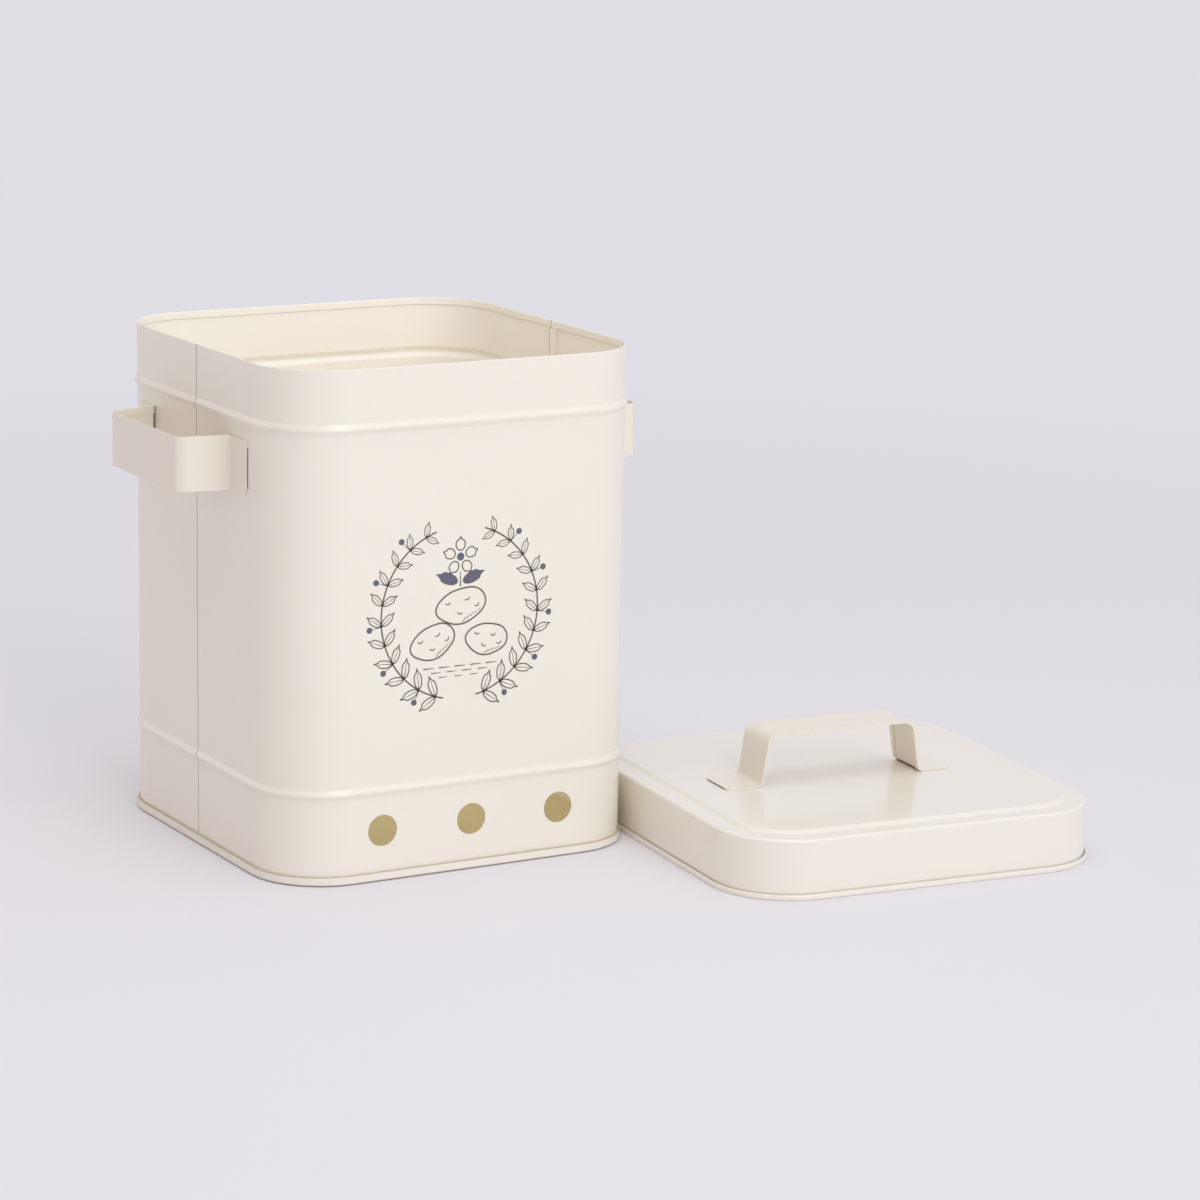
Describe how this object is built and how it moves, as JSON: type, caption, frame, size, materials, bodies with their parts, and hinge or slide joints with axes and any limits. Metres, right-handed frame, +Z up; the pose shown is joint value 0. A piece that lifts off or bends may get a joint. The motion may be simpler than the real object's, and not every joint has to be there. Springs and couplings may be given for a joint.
{
  "type": "potato storage bin",
  "caption": "Rounded-square sheet-steel vegetable storage bin with strap side handles, front vent holes and a loose slip-on lid with a strap handle.",
  "frame": {"origin": "middle of the bin's bottom, on the floor that the bin and the lid rest on", "axes": "+Z up, -Y out of the front wall with the vent holes, +X toward the bin's right side, where the lid lies"},
  "size_m": [0.481, 0.3774, 0.28],
  "materials": {
    "body_coat": "cream powder coat, satin with a soft gloss",
    "strap_coat": "cream powder coat, satin with a soft gloss",
    "lid_coat": "cream powder coat, satin with a soft gloss"
  },
  "bodies": {
    "bin": {"front_wall": "body_coat", "rear_wall": "body_coat", "base_panel": "body_coat", "left_handle": "strap_coat", "right_handle": "strap_coat"},
    "lid": {"lid": "lid_coat", "lid_handle": "strap_coat"}
  },
  "joints": [
    {"name": "lid_lift", "type": "slide", "parent": "bin", "child": "lid", "axis": [0, 0, 1], "range_m": [0, 0.17]}
  ]
}
